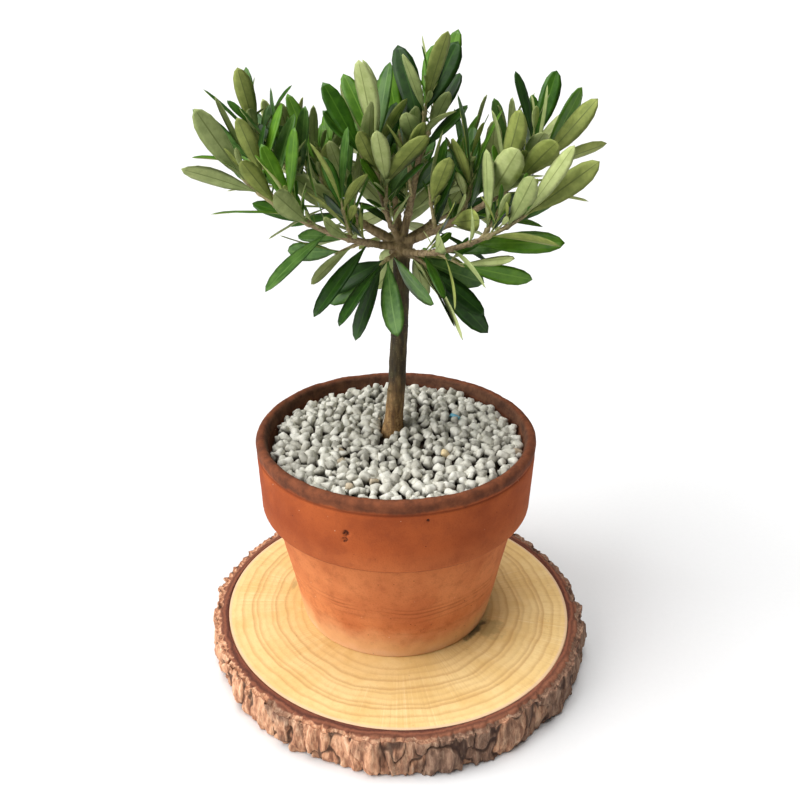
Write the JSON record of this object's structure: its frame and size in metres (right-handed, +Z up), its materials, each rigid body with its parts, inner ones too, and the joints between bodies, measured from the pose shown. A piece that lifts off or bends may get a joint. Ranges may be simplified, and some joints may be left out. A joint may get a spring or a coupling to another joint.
{
  "type": "potted olive tree",
  "caption": "Young olive tree with an open, upswept crown on a slim trunk, in a gravel-topped clay pot that stands on a slice of log.",
  "frame": {"origin": "under the pot's axis, in the flat underside of the log slice", "axes": "+Z up along the pot's axis, -Y to the front, +X to the right of someone facing the front"},
  "size_m": [0.2148, 0.233, 0.3314],
  "materials": {
    "cut_wood": "sanded end grain",
    "log_bark": "rough plated bark",
    "clay": "unglazed, matt",
    "soil": "damp, crumbly",
    "gravel": "matt",
    "stem_bark": "fine rough bark",
    "leaves": "leathery, half gloss above and matt below"
  },
  "bodies": {
    "root": {"slice_wood": "cut_wood", "slice_bark": "log_bark", "pot": "clay", "soil": "soil", "gravel": "gravel", "trunk": "stem_bark", "bough_left_low": "stem_bark", "bough_left_high": "stem_bark", "bough_left_up": "stem_bark", "bough_right_high": "stem_bark", "bough_right_low": "stem_bark", "bough_leader": "stem_bark", "bough_back_left": "stem_bark", "bough_back_right": "stem_bark", "bough_back_low": "stem_bark", "bough_back_side": "stem_bark", "foliage_left_low": "leaves", "foliage_left_high": "leaves", "foliage_left_up": "leaves", "foliage_right_high": "leaves", "foliage_right_low": "leaves", "foliage_leader": "leaves", "foliage_back_left": "leaves", "foliage_back_right": "leaves", "foliage_back_low": "leaves", "foliage_back_side": "leaves", "foliage_hang_left": "leaves", "foliage_hang_right": "leaves", "foliage_hang_back": "leaves"}
  },
  "joints": []
}
